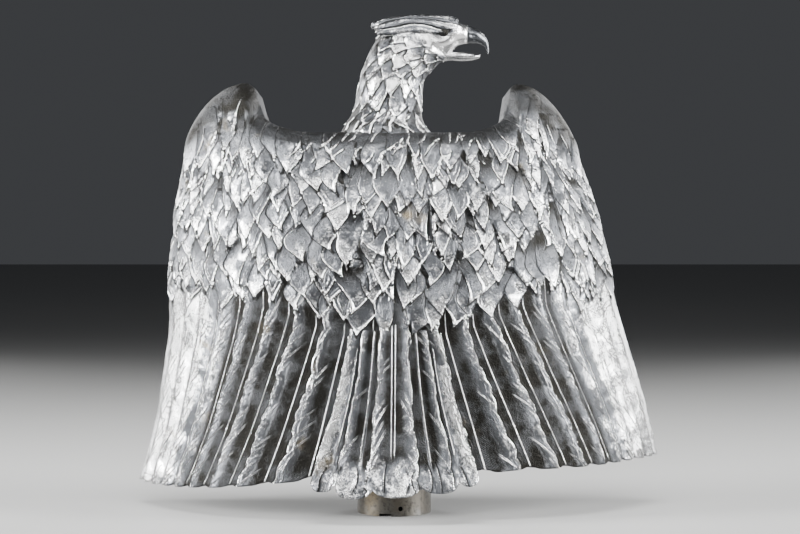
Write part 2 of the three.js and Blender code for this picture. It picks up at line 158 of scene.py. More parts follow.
def cape_surface(s, height, out):
    """The cape's back, raised by out, at a share s of the arc and a height."""
    step = 0.01
    sideways = cape_point(column_place(s + step), height, 1) - cape_point(column_place(s - step), height, 1)
    normal = np.stack([sideways[:, 1], -sideways[:, 0], np.zeros(len(s))], axis=-1)
    normal /= np.linalg.norm(normal, axis=1, keepdims=True)
    return cape_point(column_place(s), height, 1) + normal * out[:, None]


# What each vertex knows of the feathers about it, in millimetres: the way to the nearest outline,
# below 0 on the feather that has it, and how strongly the rim there is beaded; how far in from its
# own feather's edge and from a shaft it is; where it is across the splits of the barbs, how deep
# those are, and where it is across the fine grain; the feather's tone; and its gloom, how much
# darker it is painted: painted shade at feather roots, beside shafts and in the middle of the back,
# a painted highlight below 0, and each feather's own dullness.
FAR = 9.0
MARKS = {
    "lap": FAR,
    "bead": 0.0,
    "rim": FAR,
    "shaft": FAR,
    "barb": 0.0,
    "cut": 0.0,
    "grain": 0.0,
    "tone": 0.5,
    "gloom": 0.0,
}
# The two distances that cross 0 are kept as the sine and cosine of a turn that is whole at this reach.
TURNED_MARKS = {"lap": 2.5, "shaft": 8.0}
PLAIN_MARKS = [name for name in MARKS if name not in TURNED_MARKS]
CELL = 1.2
eagle = bmesh.new()
layers = {name: eagle.verts.layers.float.new(name) for name in PLAIN_MARKS}
for name in TURNED_MARKS:
    for part in ("_sine", "_cosine"):
        layers[name + part] = eagle.verts.layers.float.new(name + part)


def plain_marks(count, **changed):
    """Marks that are the same all over."""
    marks = {name: np.full(count, value) for name, value in (MARKS | changed).items()}
    marks["relief"] = np.zeros(count)
    return marks


def grid(columns, rows):
    """A flat grid in the casting's mesh, with each vertex's place across and along, from 0 to 1."""
    made = bmesh.ops.create_grid(eagle, x_segments=columns, y_segments=rows, size=0.5)
    verts = made["verts"]
    places = np.array([vert.co[:2] for vert in verts]) + 0.5
    return verts, places[:, 0], places[:, 1]


def shape(verts, points, marks):
    """Moves vertices to points of the figure, and gives them their marks."""
    placed = (points + np.array([FIGURE_SHIFT, 0, seat_height])) * MM
    for name, reach in TURNED_MARKS.items():
        turned = np.clip(marks[name] / reach, -1, 1) * math.pi
        marks[name + "_sine"], marks[name + "_cosine"] = np.sin(turned), np.cos(turned)
    for vert, point in zip(verts, placed.tolist()):
        vert.co = point
    for name, layer in layers.items():
        for vert, value in zip(verts, marks[name].tolist()):
            vert[layer] = value


def borders(verts):
    return list({edge for vert in verts for edge in vert.link_edges if edge.is_boundary})


def finish_shell(verts):
    """Turns a closed shell's faces to point out, and shades it smooth."""
    faces = list({face for vert in verts for face in vert.link_faces})
    bmesh.ops.recalc_face_normals(eagle, faces=faces)
    for face in faces:
        face.smooth = True


def back_to_back(outer, inner):
    """Closes the rim between an outer sheet and its underside."""
    bmesh.ops.bridge_loops(eagle, edges=borders(outer) + borders(inner))
    finish_shell(outer + inner)


def lay(marks, near, inside, bead, values, cell=CELL):
    """Lays a feather on vertices that are this far inside its outline, over what is there already.
    Its rim and groove are as fine as a mesh with cells of this size can show."""
    inside = inside * CELL / cell
    cover = unit(inside / CELL + 0.5)
    nearer = (inside > 0) | (-inside < np.abs(marks["lap"][near]))
    marks["bead"][near] = np.where(nearer, bead, marks["bead"][near])
    marks["lap"][near] = np.where(nearer, -inside, marks["lap"][near])
    marks["rim"][near] = np.where(inside > 0, inside, marks["rim"][near])
    for name, value in values.items():
        marks[name][near] = mix(marks[name][near], value, cover)


LEAF_MARGIN = 6
LEAF_WIDEST = 0.46
LEAF_SWING = 1.5
LEAF_FLARE = 1.3
LEAF_RIM = {"height": 0.5, "width": 1.1, "end": 0.72, "fade": 2.2}
LEAF_TIP = {"bead": 1.8, "end": 1.2, "fade": 4.5}
LEAF_ROOT = {"drop": 0.9, "power": 0.7, "crown_from": 3}
LEAF_GRAIN = {"pitch": 0.9, "sway": 0.5, "turns": 5}
# Painted shade up a small feather towards its root, under the row above, and a painted highlight at its
# tip.
LEAF_GLOOM = {"root": 1.5, "tip": -0.2}


def ridge(away, width):
    """The height of a rounded ridge, 1 on its line, this far away from it."""
    return np.exp(-((away / width) ** 2))


def lay_leaf(marks, across, along, leaf, period=None, cell=CELL):
    """Lays one pointed feather, its tip down, on a sheet or round a tube of this girth."""
    half_width, length = leaf["half_width"], leaf["length"]
    u = across - leaf["across"]
    if period:
        u = (u + period / 2) % period - period / 2
    v = along - leaf["along"]
    near = np.flatnonzero((np.abs(u) < half_width * 2) & (v > -LEAF_MARGIN) & (v < length + LEAF_MARGIN))
    u, v = u[near], v[near]
    t = unit(v / length)
    u = u - v * leaf["lean"] - leaf["bend"] * half_width * np.sin(math.pi * LEAF_SWING * t)
    wide = half_width * np.sin(math.pi / 2 * unit(t / LEAF_WIDEST)) ** leaf["point"]
    flare = half_width / (length * LEAF_WIDEST) * np.where(t < LEAF_WIDEST, LEAF_FLARE, 0.0)
    inside = (wide - np.abs(u)) / np.hypot(1, flare)
    inside = np.where(v < 0, -np.hypot(u, v), inside)
    inside = np.where(v > length, length - v, inside)
    bead = unit((LEAF_RIM["end"] - t) * LEAF_RIM["fade"])
    bead = bead * np.where(u < 0, leaf["beads"][0], leaf["beads"][1])
    at_tip = unit(LEAF_TIP["end"] - t * LEAF_TIP["fade"])
    bead = np.maximum(bead, leaf["beads"].max() * LEAF_TIP["bead"] * at_tip)
    crown = leaf["crown"] * (1 - np.clip(u / np.maximum(wide, 0.5), -1, 1) ** 2)
    crown = crown * unit(t * LEAF_ROOT["crown_from"])
    lifted = leaf["lift"] * (1 - LEAF_ROOT["drop"] * t ** LEAF_ROOT["power"])
    rim = LEAF_RIM["height"] * bead * ridge(inside, LEAF_RIM["width"])
    values = {
        "relief": lifted + crown + leaf["tilt"] * u + rim,
        "grain": u / LEAF_GRAIN["pitch"] + LEAF_GRAIN["sway"] * np.sin(t * LEAF_GRAIN["turns"]),
        "gloom": LEAF_GLOOM["root"] * t + LEAF_GLOOM["tip"] + leaf["dullness"],
        "tone": leaf["tone"],
        "shaft": np.copysign(FAR, marks["shaft"][near]),
        "cut": 0,
    }
    lay(marks, near, inside, bead, values, cell)


UNEVEN = {"across": 0.27, "along": 0.11, "half_width": 0.19, "lean": 0.12, "bend": 0.52, "point": 0.15}
CROWNS = (-0.3, 1.4)
TILTS = (-0.1, 0.1)
BEADS = (-0.3, 1.25)
BEAD_LIMITS = (0.06, 1.2)
DULLNESSES = (-0.25, 0.3)


def leaf_at(across, along, half_width, length, lift, beading=1.0, point=1.75, hand=1.0):
    """A small feather at its tip, with the carver's uneven hand in its place, size and turn."""
    jitter = np.clip(chance.normal(0, 1, len(UNEVEN)), -2, 2) * hand
    off = {name: value * UNEVEN[name] for name, value in zip(UNEVEN, jitter)}
    return {
        "across": across + off["across"] * half_width,
        "along": along + off["along"] * length,
        "half_width": half_width * (1 + off["half_width"]),
        "length": length,
        "lean": off["lean"],
        "bend": off["bend"],
        "point": point + off["point"],
        "lift": lift,
        "crown": chance.uniform(*CROWNS),
        "tilt": chance.uniform(*TILTS),
        "beads": np.clip(chance.uniform(*BEADS, 2), *BEAD_LIMITS) * beading,
        "dullness": chance.uniform(*DULLNESSES),
        "tone": chance.uniform(0, 1),
    }


STROKE_HEIGHT = 1.1
STROKE_END = 0.35
STROKE_RIM = 0.5


def lay_stroke(marks, across, along, start, end, bow=0.0, width=1.0):
    """A raised chased line from start to end, bowed to one side and thinned at both ends."""
    (x0, z0), (x1, z1) = start, end
    length = math.hypot(x1 - x0, z1 - z0)
    dx, dz = (x1 - x0) / length, (z1 - z0) / length
    t = unit(((across - x0) * dx + (along - z0) * dz) / length)
    side = bow * np.sin(math.pi * t)
    off_x = across - x0 - dx * t * length + dz * side
    off_z = along - z0 - dz * t * length - dx * side
    away = np.hypot(off_x, off_z)
    fullness = np.sin(math.pi * unit(t * 0.9 + 0.05))
    marks["relief"] += STROKE_HEIGHT * ridge(away, width * mix(STROKE_END, 1, fullness))
    nearer = away < np.minimum(np.abs(marks["lap"]), TURNED_MARKS["lap"])
    signed = np.copysign(away, off_x * dz - off_z * dx) - STROKE_RIM
    marks["lap"] = np.where(nearer, signed, marks["lap"])
    marks["bead"] = np.where(nearer, width * np.sin(math.pi * np.clip(t, 0.1, 0.9)), marks["bead"])


ARC = 173
EDGE_FADE = 0.2
CAPE_FEATHERS = 21
FEATHER_WIDTH = 2 * ARC / CAPE_FEATHERS
FIRST_SHAFT = 0.75
FLIGHT_START = 0.62
FLIGHT_FAN = [[0, 0], [0.27, 0.14], [0.45, 0.165], [0.64, 0.115], [1, 0]]
SCALLOP = {"height": 2.2, "width": 2.4}
FIRST_ROW_TIPS = [[0, 159], [0.3, 161], [0.45, 168], [0.6, 179], [0.72, 172], [0.85, 160], [1, 142]]
LAST_ROW_TIPS = [[0, 67], [0.2, 71], [0.4, 83], [0.6, 85], [1, 84]]
ROW_OVERLAP = 2
CAPE_COLUMNS = 320
CAPE_LINES = 180


def edge_fade(s):
    return unit((1 - np.abs(s)) / EDGE_FADE) ** 0.7


def flight_place(s):
    """A flight feather's number from the back's middle, and the place across it from its shaft."""
    column = np.abs(s) * CAPE_FEATHERS / 2 - FIRST_SHAFT
    number = np.floor(column)
    return number, column - number


def cape_places(across, down):
    """Each vertex's column, share along the flight feathers, share of the arc, and height."""
    s = across * 2 - 1
    side = np.where(s < 0, -1, 1)
    top = upper_edge(column_place(np.abs(s)), side)
    start = between(LAST_ROW_TIPS, np.abs(s))[0] - ROW_OVERLAP
    share = unit((down - FLIGHT_START) / (1 - FLIGHT_START))
    fanned = s + side * share * between(FLIGHT_FAN, np.abs(s))[0]
    from_shaft = np.abs((flight_place(s)[1] + 0.5) % 1 - 0.5) * FEATHER_WIDTH
    notch = SCALLOP["height"] * ridge(from_shaft, SCALLOP["width"]) * edge_fade(s) ** 0.5
    lower = of_wing(side, "lower_edge", column_place(np.abs(fanned))) + notch
    upper = mix(top, start, unit(down / FLIGHT_START))
    return s, share, fanned, np.where(share > 0, mix(start, lower, share), upper)


BARB_PITCH = 10.5
BARB_SLANT = 0.7
BARB_BEND = 0.05
BARB_SHIFT = 5
BARB_WANDER = {"size": 0.3, "turn": 0.09, "shift": 2.1}
LOBE = {"slant": 1.1, "power": 0.55, "depth": 0.11}
VANE_WAVE = {"least": 0.92, "size": 0.05, "turn": 0.17, "shift": 1.7}
VANE_LIP = {"height": 0.4, "width": 1.3}
VANE_BEADS = (0.3, 0.5)
# Painted shade on a vane by its shaft, fading out to its free edge, and in the gutter beyond that edge.
VANE_ROOT = {"relief": 0.2, "gloom": 1.45}
GUTTER = {"relief": 0.1, "rise": 0.35, "width": 2, "gloom": 1.2}
HATCH_LINES = 9
GOLDEN = 0.618


def lay_vane(marks, on, out, reach, height, number, rise):
    """Lays one side of a long feather: out is how far a vertex is from its shaft, in millimetres,
    and reach how far out its free edge is. The vane rises to that edge, which the barbs' splits
    cut into lobes, and drops to the next feather's shaft."""
    near = np.flatnonzero(on)
    given = (out, reach, height, number)
    out, reach, height, number = (np.broadcast_to(value, on.shape)[near] for value in given)
    wander = BARB_WANDER["size"] * np.sin(height * BARB_WANDER["turn"] + number * BARB_WANDER["shift"])
    offset = number * 0.37 % 1 * BARB_SHIFT
    barb = (height + out * (BARB_SLANT + BARB_BEND * out)) / BARB_PITCH + offset + wander
    lobe_place = (height + reach * LOBE["slant"]) / BARB_PITCH + offset + wander
    lobes = np.abs(np.sin(math.pi * lobe_place)) ** LOBE["power"]
    wave = VANE_WAVE["size"] * np.sin(height * VANE_WAVE["turn"] + number * VANE_WAVE["shift"])
    edge = reach * (VANE_WAVE["least"] + LOBE["depth"] * lobes + wave)
    inside = edge - out
    share = unit(out / edge)
    lip = VANE_LIP["height"] * ridge(inside, VANE_LIP["width"])
    # The gutter beyond the edge is painted in shade; inside, painted shade fades out from the shaft.
    marks["relief"][near] = GUTTER["relief"] + GUTTER["rise"] * unit(-inside / GUTTER["width"])
    marks["gloom"][near] = GUTTER["gloom"]
    marks["lap"][near] = FAR
    values = {
        "relief": VANE_ROOT["relief"] + rise * (share**1.5 - 0.12 * share**6) + lip,
        "barb": barb + number * 7,
        "grain": barb * HATCH_LINES,
        "gloom": VANE_ROOT["gloom"] * (1 - share**1.35),
        "tone": number * GOLDEN % 1,
        "cut": 1,
    }
    lay(marks, near, inside, VANE_BEADS[0] + VANE_BEADS[1] * lobes, values)


OTHER_SIDE = 31
VANE_EDGE = 0.76
VANE_HEIGHT = 2.7
SHAFT_RIDGE = {"height": 0.3, "width": 0.7}
# Painted shade on the inner flight feathers, and a painted highlight on the outer wings.
INNER_GLOOM = 0.17
OUTER_GLOOM = 0.35
OUTER_BRIGHT = 0.45
OUTER_FROM = 0.5
OUTER_FULL = 0.75


def lay_flight_feathers(marks, s, share, height):
    """Lays the flight feathers, dark inside with painted shade, fading into the smooth wing edges,
    which are painted bright: a painted highlight.
    """
    number, place = flight_place(s)
    everywhere = np.ones(len(s), bool)
    number = number + (s < 0) * OTHER_SIDE
    reach = VANE_EDGE * FEATHER_WIDTH
    lay_vane(marks, everywhere, place * FEATHER_WIDTH, reach, height, number, VANE_HEIGHT)
    marks["shaft"] = np.where(place < 0.5, place, place - 1) * FEATHER_WIDTH
    marks["relief"] += SHAFT_RIDGE["height"] * ridge(marks["shaft"], SHAFT_RIDGE["width"])
    outer = unit((np.abs(s) - OUTER_FROM) / (OUTER_FULL - OUTER_FROM))
    outer_gloom = marks["gloom"] * OUTER_GLOOM - OUTER_BRIGHT
    marks["gloom"] = mix(marks["gloom"] + INNER_GLOOM, outer_gloom, outer)
    fade = edge_fade(s)
    marks["relief"] *= fade * unit((1.05 - share) * 8)
    marks["bead"] *= unit(fade * 1.5)


CAPE_LEAVES = 27
LEAF_WIDTH = 2 * ARC / CAPE_LEAVES
LEAF_SHARE = 0.56
INFILL_LEAVES = 44
INFILL_SHARE = 0.4
CAPE_ROWS = 8
ROWS_IN_LEAF = 2.5
CAPE_LIFT = 2.6
BARE_ABOVE = 12
BARE_GLOOM = 0.3


def lay_small_feathers(marks, fanned, height):
    """Lays the rows of small feathers, the lowest first, on metal left bare above the first row."""
    bare = height > between(FIRST_ROW_TIPS, np.abs(fanned))[0] + BARE_ABOVE
    for name, plain in plain_marks(len(fanned), gloom=BARE_GLOOM).items():
        marks[name] = np.where(bare, plain, marks[name])
    leaves = []
    for row in range(CAPE_ROWS):
        places = (np.arange(-CAPE_LEAVES, CAPE_LEAVES) - row % 2 / 2) * LEAF_WIDTH
        for place in places[np.abs(places) < ARC * 1.01]:
            leaves.append((place, row, LEAF_SHARE))
    for place in chance.uniform(-0.9, 0.9, INFILL_LEAVES):
        leaves.append((place * ARC, chance.uniform(0.3, CAPE_ROWS - 1), INFILL_SHARE))
    leaves.sort(key=lambda leaf: -leaf[1])
    for middle, row, width in leaves:
        at = abs(middle / ARC)
        first, last = between(FIRST_ROW_TIPS, at)[0], between(LAST_ROW_TIPS, at)[0]
        pitch = (first - last) / (CAPE_ROWS - 1)
        lift = CAPE_LIFT * edge_fade(np.array(at))
        leaf = leaf_at(middle, first - pitch * row, LEAF_WIDTH * width, pitch * ROWS_IN_LEAF, lift)
        lay_leaf(marks, fanned * ARC, height, leaf)


WRIST_STROKES = [(150, 150), (143, 171), (135, 150), (128, 176), (118, 160), (158, 128)]
WRIST_STROKE_RUN = (-7, 17)
NAPE_LINE = 175
NAPE_STROKES = 27
NAPE_REACH = (-64, 52)


def lay_strokes(marks, across, height):
    """Lays the loose strokes on both wrists and the row of short ones along the nape."""
    for side in (-1, 1):
        for x, z in WRIST_STROKES:
            end = (side * (x + WRIST_STROKE_RUN[0]), z + WRIST_STROKE_RUN[1])
            lay_stroke(marks, across, height, (side * x, z), end, bow=side * 1.5, width=0.9)
    for middle in np.linspace(*NAPE_REACH, NAPE_STROKES):
        base = NAPE_LINE + chance.uniform(-9, 5)
        end = (middle + chance.uniform(1, 9), base + chance.uniform(3, 9))
        bow, width = chance.uniform(-1.5, 1.5), chance.uniform(1, 1.7)
        lay_stroke(marks, across, height, (middle, base), end, bow, width)


WRIST = {"from": 188, "fade": 14, "drop_from": 0.7, "drop": 90, "gloom": 1.35, "flatten": 0.75}
ROLL = {"smooth_from": 7, "smooth_fade": 6, "from": 14, "fade": 7, "rough": 0.26, "gloom": 0.95}


def cape_marks(s, share, fanned, height):
    """The cape's feathers, below its smooth, dark wrists and the rough roll of its upper edge."""
    marks = plain_marks(len(s))
    lay_flight_feathers(marks, s, share, height)
    lay_small_feathers(marks, fanned, height)
    top = upper_edge(column_place(np.abs(fanned)), fanned)
    drop = WRIST["drop"] * np.maximum(np.abs(fanned) - WRIST["drop_from"], 0)
    wrist = unit((height - WRIST["from"] + drop) / WRIST["fade"])
    feathered = 1 - unit((height - top + ROLL["smooth_from"]) / ROLL["smooth_fade"])
    marks["relief"] *= feathered * (1 - WRIST["flatten"] * wrist)
    marks["bead"] *= feathered
    lay_strokes(marks, fanned * ARC, height)
    roll = unit((height - top + ROLL["from"]) / ROLL["fade"])
    marks["relief"] += ROLL["rough"] * chance.normal(0, 1, len(s)) * unit(roll - wrist)
    edge_gloom = np.maximum(ROLL["gloom"] * roll, WRIST["gloom"] * wrist)
    marks["gloom"] = np.maximum(marks["gloom"], edge_gloom)
    return marks


UNDERSIDE_COARSER = 5
UNDERSIDE = {"tone": 0.0, "gloom": 0.88}

cape_verts, across, down = grid(CAPE_COLUMNS, CAPE_LINES)
s, share, fanned, height = cape_places(across, down)
marks = cape_marks(s, share, fanned, height)
shape(cape_verts, cape_surface(fanned, height, marks["relief"]), marks)
front_verts, across, down = grid(CAPE_COLUMNS // UNDERSIDE_COARSER, CAPE_LINES // UNDERSIDE_COARSER)
s, share, fanned, height = cape_places(across, down)
marks = plain_marks(len(front_verts), **UNDERSIDE)
shape(front_verts, cape_point(column_place(fanned), height, -1), marks)
back_to_back(cape_verts, front_verts)

# The tail: five broad feathers over the lower end of the back, cast with it. The middle one lies on
# top, with a double shaft. The others have their vanes on the outer side of thin raised shafts,
# and all flare out at the end, which is painted bright: a painted highlight of the light from above.
TAIL_TOP = 80
TAIL_EMERGES = 16
TAIL_WIDTHS = [[-26, 50.5], [-8, 46.5], [12, 40], [30, 34.5], [50, 30], [74, 26], [80, 25]]
TAIL_DEPTHS = [
    [-26, -60.5], [-17, -58.5], [-9, -55], [8, -52.6],
    [40, -52.3], [60, -51.7], [70, -50.4], [80, -47.5],
]
TAIL_ARCH = [[-26, 7], [20, 5], [80, 2.5]]
TAIL_THICKNESS = 3.6
TAIL_SINKS = 0.3
TAIL_TIPS = [
    (-1, -0.7, -23), (-0.7, -0.27, -26.5), (-0.27, 0.29, -25.5), (0.29, 0.75, -23.5), (0.75, 1, -20),
]
TAIL_NOTCH = 4.5
TAIL_COLUMNS = 108
TAIL_LINES = 76
TAIL_COARSER = 4


def tail_surface(across, height, out):
    half_width = between(TAIL_WIDTHS, height)[0]
    depth, arch = (between(table, height)[0] for table in (TAIL_DEPTHS, TAIL_ARCH))
    return np.stack([across * half_width, depth + arch * across**2 - out, height], axis=-1)


def tail_places(across, down):
    a = across * 2 - 1
    lower = np.zeros(len(a))
    for left, right, tip in TAIL_TIPS:
        q = (a - (left + right) / 2) / ((right - left) / 2)
        lower = np.where((a >= left) & (a <= right), tip + TAIL_NOTCH * np.abs(q) ** 3, lower)
    return a, mix(TAIL_TOP, lower, down)


def nearest_shaft(marks, out):
    """Keeps the way to a shaft where it is nearer than the shafts so far."""
    marks["shaft"] = np.where(np.abs(out) < np.abs(marks["shaft"]), out, marks["shaft"])


SIDE_FEATHERS = [{"shaft": 0.445, "edge": 0.70, "until": 0.77}, {"shaft": 0.77, "edge": 1.0, "until": 2}]
SIDE_VANE_HEIGHT = 2.6
MIDDLE_FEATHER = {"left": -0.33, "shaft": -0.03, "right": 0.28, "until": 0.415}
MIDDLE_VANE_HEIGHT = 2.2
MIDDLE_LIFT = 1.6
DOUBLE_SHAFT = 1.0
TAIL_SHAFT_RIDGE = {"height": 0.5, "width": 0.8}
# Painted shade on the inner tail feathers, and a painted highlight on the outer ones.
TAIL_OUTER = {"from": 0.7, "fade": 0.12, "bright": 0.3}
TAIL_INNER_GLOOM = 0.1


def lay_tail_feathers(marks, a, height):
    half_width = between(TAIL_WIDTHS, height)[0]
    for k, feather in enumerate(SIDE_FEATHERS):
        for side in (-1, 1):
            out = (side * a - feather["shaft"]) * half_width
            on = (out > 0) & (side * a < feather["until"])
            reach = (feather["edge"] - feather["shaft"]) * half_width
            lay_vane(marks, on, out, reach, height, 3 + 2 * k + side, SIDE_VANE_HEIGHT)
            nearest_shaft(marks, out)
    middle = MIDDLE_FEATHER["shaft"]
    for side, edge in ((-1, MIDDLE_FEATHER["left"]), (1, MIDDLE_FEATHER["right"])):
        out = side * (a - middle) * half_width
        on = (out > 0) & (side * a < MIDDLE_FEATHER["until"])
        reach = side * (edge - middle) * half_width
        lay_vane(marks, on, out, reach, height, 11 + side, MIDDLE_VANE_HEIGHT)
        lifted = MIDDLE_LIFT * unit((side * edge - side * a) * 40)
        marks["relief"] += np.where(out > 0, lifted, 0)
        nearest_shaft(marks, out - DOUBLE_SHAFT)
    marks["relief"] += TAIL_SHAFT_RIDGE["height"] * ridge(marks["shaft"], TAIL_SHAFT_RIDGE["width"])
    marks["relief"] *= unit((TAIL_TOP - height) / TAIL_EMERGES)
    outer = unit((np.abs(a) - TAIL_OUTER["from"]) / TAIL_OUTER["fade"])
    outer_gloom = marks["gloom"] * OUTER_GLOOM - TAIL_OUTER["bright"]
    marks["gloom"] = mix(marks["gloom"] + TAIL_INNER_GLOOM, outer_gloom, outer)


# The flared ends are painted bright: a painted highlight of the light from above.
FLARE_TOP = -3
FLARE_FADE = 10
FLARE_GLOOM = 0.2
FLARE_GROOVES = [-0.9, -0.72, -0.5, -0.38, -0.14, 0.12, 0.22, 0.4, 0.52, 0.66, 0.84]
FLARE_GROOVE_ENDS = {"top": 44, "bottom": 50, "height": -22}


def lay_flare(marks, a, height):
    """Smooths the feathers' flared ends and paints a highlight on them, with a few chased grooves in them.
    """
    flare = unit((FLARE_TOP - height + 3 * np.cos(a * 9) + 1.5 * np.sin(a * 23)) / FLARE_FADE)
    marks["relief"] *= 1 - 0.5 * flare
    across = a * between(TAIL_WIDTHS, height)[0]
    for groove in FLARE_GROOVES:
        top = chance.uniform(-12, -3)
        start = (groove * FLARE_GROOVE_ENDS["top"] + chance.uniform(-1, 1), top)
        end = (groove * FLARE_GROOVE_ENDS["bottom"], FLARE_GROOVE_ENDS["height"])
        lay_stroke(marks, across, height, end, start, bow=chance.uniform(-2, 2), width=0.7)
    marks["cut"] *= 1 - flare
    marks["bead"] *= 1 - 0.6 * flare
    # Painted highlight on the flared ends.
    marks["gloom"] = mix(marks["gloom"], FLARE_GLOOM, flare)
    marks["shaft"] += np.copysign(FAR * flare, marks["shaft"])


tail_verts, across, down = grid(TAIL_COLUMNS, TAIL_LINES)
a, height = tail_places(across, down)
marks = plain_marks(len(a))
lay_tail_feathers(marks, a, height)
lay_flare(marks, a, height)
shape(tail_verts, tail_surface(a, height, marks["relief"] - TAIL_SINKS), marks)
under_verts, across, down = grid(TAIL_COLUMNS // TAIL_COARSER, TAIL_LINES // TAIL_COARSER)
a, height = tail_places(across, down)
under = np.full(len(a), -TAIL_THICKNESS)
shape(under_verts, tail_surface(a, height, under), plain_marks(len(a)))
back_to_back(tail_verts, under_verts)

# The body inside the wings: breast and belly in rows of small feathers, seen only from the front.
# It is part of the same casting.
BODY_STATIONS = [
    [14, 0, 8, -20, 8],
    [22, 0, 17, -18, 18],
    [36, 0, 28, -10, 30],
    [60, -1, 42, -3, 42],
    [90, -2, 52, 4, 49],
    [120, -3, 56, 8, 51],
    [150, -4, 53, 8, 46],
    [172, -5, 42, 5, 35],
    [182, -6, 26, 0, 23],
    [188, -7, 12, -2, 12],
]
BODY_GIRTH = 330
BODY_COLUMNS = 72
BODY_LINES = 70
BODY_CELL = 3
BREAST_ROWS = [176, 161, 146, 131, 116, 101, 87, 74]
BREAST_FEATHERS = 18
BREAST_FEATHER_LENGTH = 32
BREAST_LIFT = 2.4
BREAST_HAND = 0.7
SEAM_GAP = 1e-6


def body_surface(turn, height, out):
    x, half_width, y, half_depth = between(BODY_STATIONS, height)
    a = np.radians(turn)
    x = x + (half_width + out) * np.sin(a)
    y = y + (half_depth + out) * np.cos(a)
    return np.stack([x, y, height], axis=-1)


def close_round(verts):
    """Closes a sheet that has been bent into a tube: its seam, and then its two ends."""
    rims = {vert for edge in borders(verts) for vert in edge.verts}
    bmesh.ops.remove_doubles(eagle, verts=list(rims), dist=SEAM_GAP)
    verts = [vert for vert in verts if vert.is_valid]
    bmesh.ops.holes_fill(eagle, edges=borders(verts), sides=0)
    finish_shell(verts)


body_verts, across, up = grid(BODY_COLUMNS, BODY_LINES)
turn = across * 360
height = mix(BODY_STATIONS[0][0], BODY_STATIONS[-1][0], up)
marks = plain_marks(len(body_verts))
wide = BODY_GIRTH / BREAST_FEATHERS
size = (wide * LEAF_SHARE, BREAST_FEATHER_LENGTH, BREAST_LIFT)
for row in reversed(range(len(BREAST_ROWS))):
    for place in range(BREAST_FEATHERS):
        leaf = leaf_at((place + row / 2) * wide, BREAST_ROWS[row], *size, hand=BREAST_HAND)
        lay_leaf(marks, across * BODY_GIRTH, height, leaf, BODY_GIRTH, BODY_CELL)
shape(body_verts, body_surface(turn, height, marks["relief"]), marks)
close_round(body_verts)

# The neck and head, turned to the bird's right: small pointed feathers up the neck, a smooth cheek,
# and a heavy hooked beak, open and darker than the cheek. Cast in one with the body.
HEAD_STATIONS = [
    [0, -34, 182, 24, 182, 27],
    [1, -28, 192, 16, 191, 22],
    [2, -23, 202, 14.5, 201, 18.5],
    [3, -20.5, 216, 15.5, 215, 17],
    [4, -17, 226, 19.5, 222, 16],
    [5, -12.5, 237, 24, 226.8, 15.5],
    [6, -7, 245, 28, 228.8, 14.8],
    [7, 2, 252.5, 31, 230, 14.5],
    [8, 14, 255, 33, 232.5, 14.3],
    [9, 25, 254.5, 35, 235.5, 13.5],
    [10, 34, 253, 38, 238, 11],
    [11, 40, 250.5, 42, 239, 8.5],
    [12, 45, 249.4, 45.5, 239.3, 7],
    [13, 50.4, 247, 49.2, 239.2, 5.2],
    [14, 54.2, 243, 51.8, 238.3, 3],
    [15, 55.9, 238, 53.9, 236.8, 1.6],
    [16, 56, 232.9, 55.5, 232.6, 0.4],
]
HEAD_COLUMNS = 104
HEAD_LINES = 120
NECK_GIRTH = 113
NECK_STEP = 10.5
NECK_CELL = 1.5
NECK_ROWS = [5.6, 4.7, 3.9, 3.1, 2.3, 1.5, 0.7, -0.1]
NECK_FEATHERS = 12
NECK_FEATHER_SHARE = 0.57
NECK_FEATHER_LENGTH = 20
NECK_LIFT = 1.8
NECK_LOOKS = {"beading": 0.75, "point": 1.2, "hand": 0.5}
NECK_STROKES = [9, 15, 22, 30, 37, 43]
NECK_STROKE_RUN = 5
NECK_STROKE_ENDS = (1, 17)
FACE_START = 6.3
FACE_FADE = 0.8
FACE_GLOOM = -0.25
BEAK_START = 42.6
BEAK_FADE = 1.2
BEAK_GLOOM = 0.8
FACE_DENTS = {
    "eye socket": (28.5, 244.5, 6, 5, -2.2),
    "brow": (33, 249.6, 9, 1.6, 2.0),
    "cheek": (30, 238.5, 8, 2.6, 0.8),
    "beak's seam": (42.8, 244, 0.7, 7, -0.8),
    "nostril": (46, 243.4, 1.6, 0.9, -1.0),
}
EYE_SHADOW = (29, 245.8, 6.5, 2.6, 1.69)
NECK_GLOOM = -0.3
NAPE = {"turn": 66, "fade": 30, "gloom": 0.7}
THROAT = {"turn": 126, "fade": 20, "gloom": 0.6}
NECK_BASE = {"station": 2, "gloom": 0.7}


def head_surface(turn, station, out):
    px, pz, qx, qz, half_depth = between(HEAD_STATIONS, station)
    a = np.radians(turn)
    reach = np.hypot(px - qx, pz - qz) / 2
    to_nape = (1 + out / reach) * np.cos(a) / 2
    x = (px + qx) / 2 + (px - qx) * to_nape
    z = (pz + qz) / 2 + (pz - qz) * to_nape
    return np.stack([x, -(half_depth + out) * np.sin(a), z], axis=-1)


def swelling(points, x, z, wide, high, rise):
    """How far a round swelling on both sides of the head, or a dent, lifts each point."""
    return rise * np.exp(-(((points[:, 0] - x) / wide) ** 2) - ((points[:, 2] - z) / high) ** 2)


